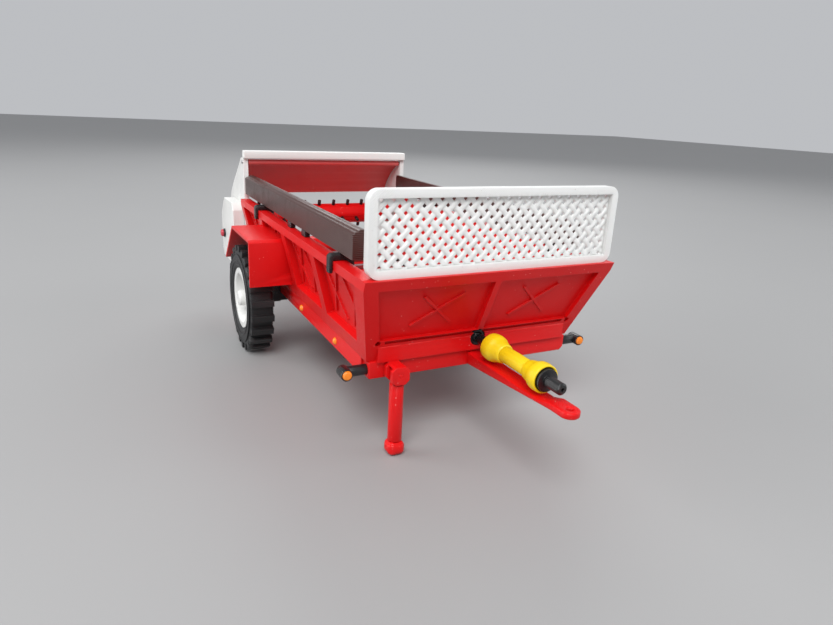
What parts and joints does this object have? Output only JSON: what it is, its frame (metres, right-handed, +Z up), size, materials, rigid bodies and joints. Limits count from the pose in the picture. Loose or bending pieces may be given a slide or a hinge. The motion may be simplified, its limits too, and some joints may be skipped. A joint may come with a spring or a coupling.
{
  "type": "muck spreader scale model",
  "caption": "Trailed single-axle muck spreader scale model: flared hopper, mesh front screen, side boards, rear hood, spiked beaters, power shaft and parking stand.",
  "frame": {"origin": "centre of the bounding box on the ground plane", "axes": "+Z up, -Y towards the drawbar, +X to the right when looking along +Y from the drawbar"},
  "size_m": [0.0992, 0.2082, 0.0742],
  "materials": {
    "red_plastic": "printed plastic, satin",
    "white_plastic": "printed plastic, satin",
    "brown_plastic": "printed plastic, matte",
    "black_plastic": "printed plastic, satin",
    "yellow_plastic": "printed plastic, satin",
    "tyre_rubber": "matte",
    "orange_lens": "glossy",
    "red_lens": "glossy",
    "steel": "plain"
  },
  "bodies": {
    "spreader": {"front_wall": "red_plastic", "left_wall": "red_plastic", "right_wall": "red_plastic", "floor_plate": "red_plastic", "lip_rail": "red_plastic", "front_beam": "red_plastic", "left_rail": "red_plastic", "right_rail": "red_plastic", "cross_members": "red_plastic", "drawbar": "red_plastic", "axle": "black_plastic", "screen_frame": "white_plastic", "screen_mesh": "white_plastic", "left_board": "brown_plastic", "right_board": "brown_plastic", "board_hooks": "black_plastic", "board_pads": "black_plastic", "left_fender": "red_plastic", "right_fender": "red_plastic", "input_housing": "black_plastic", "stand_head": "red_plastic", "stand_pin": "red_plastic", "left_cheek": "white_plastic", "right_cheek": "white_plastic", "top_bar": "white_plastic", "hood_pins": "steel", "beater_bearings": "black_plastic", "beater_chain": "black_plastic", "chain_guard": "white_plastic", "conveyor_chains": "black_plastic", "conveyor_slats": "steel", "lamp_arms": "black_plastic", "front_lamps": "black_plastic", "lamp_lenses": "orange_lens", "side_markers": "orange_lens", "tail_lamps": "black_plastic", "tail_lenses": "red_lens"},
    "left_wheel": {"left_tyre": "tyre_rubber", "left_wheel_rim": "white_plastic", "left_hub_cap": "white_plastic", "left_wheel_nuts": "steel"},
    "right_wheel": {"right_tyre": "tyre_rubber", "right_wheel_rim": "white_plastic", "right_hub_cap": "white_plastic", "right_wheel_nuts": "steel"},
    "shaft_guard": {"guard_tube": "yellow_plastic", "rear_guard_cone": "yellow_plastic", "front_guard_cone": "yellow_plastic"},
    "power_shaft": {"power_shaft": "black_plastic"},
    "stand": {"stand_leg": "red_plastic", "stand_foot": "red_plastic"},
    "hood": {"hood_panel": "red_plastic"},
    "upper_beater": {"upper_drum": "red_plastic", "upper_spikes": "black_plastic", "upper_sprocket": "steel"},
    "lower_beater": {"lower_drum": "red_plastic", "lower_spikes": "black_plastic", "lower_sprocket": "steel"},
    "conveyor_drive": {"conveyor_shaft": "steel"}
  },
  "joints": [
    {"name": "left_wheel_spin", "type": "hinge", "parent": "spreader", "child": "left_wheel", "pos_m": [-0.04, 0.03205, 0.0202], "axis": [1, 0, 0], "continuous": true},
    {"name": "right_wheel_spin", "type": "hinge", "parent": "spreader", "child": "right_wheel", "pos_m": [0.04, 0.03205, 0.0202], "axis": [1, 0, 0], "continuous": true},
    {"name": "shaft_swing", "type": "hinge", "parent": "spreader", "child": "shaft_guard", "pos_m": [0, -0.05935, 0.0306], "axis": [-1, 0, 0], "range_deg": [0, 15]},
    {"name": "shaft_spin", "type": "hinge", "parent": "shaft_guard", "child": "power_shaft", "pos_m": [0, -0.05935, 0.0306], "axis": [0, 1, 0], "continuous": true},
    {"name": "stand_swing", "type": "hinge", "parent": "spreader", "child": "stand", "pos_m": [-0.0264, -0.06275, 0.0244], "axis": [0, 1, 0], "range_deg": [0, 90]},
    {"name": "hood_lift", "type": "hinge", "parent": "spreader", "child": "hood", "pos_m": [0, 0.07265, 0.06766], "axis": [1, 0, 0], "range_deg": [0, 25]},
    {"name": "upper_beater_spin", "type": "hinge", "parent": "spreader", "child": "upper_beater", "pos_m": [0, 0.08045, 0.0435], "axis": [1, 0, 0], "continuous": true},
    {"name": "lower_beater_spin", "type": "hinge", "parent": "spreader", "child": "lower_beater", "pos_m": [0, 0.08045, 0.0282], "axis": [1, 0, 0], "continuous": true},
    {"name": "conveyor_spin", "type": "hinge", "parent": "spreader", "child": "conveyor_drive", "pos_m": [0, 0.06805, 0.0245], "axis": [1, 0, 0], "continuous": true}
  ],
  "couplings": [
    {"joint": "lower_beater_spin", "follows": "upper_beater_spin", "ratio": 1},
    {"joint": "conveyor_spin", "follows": "upper_beater_spin", "ratio": -0.1}
  ]
}
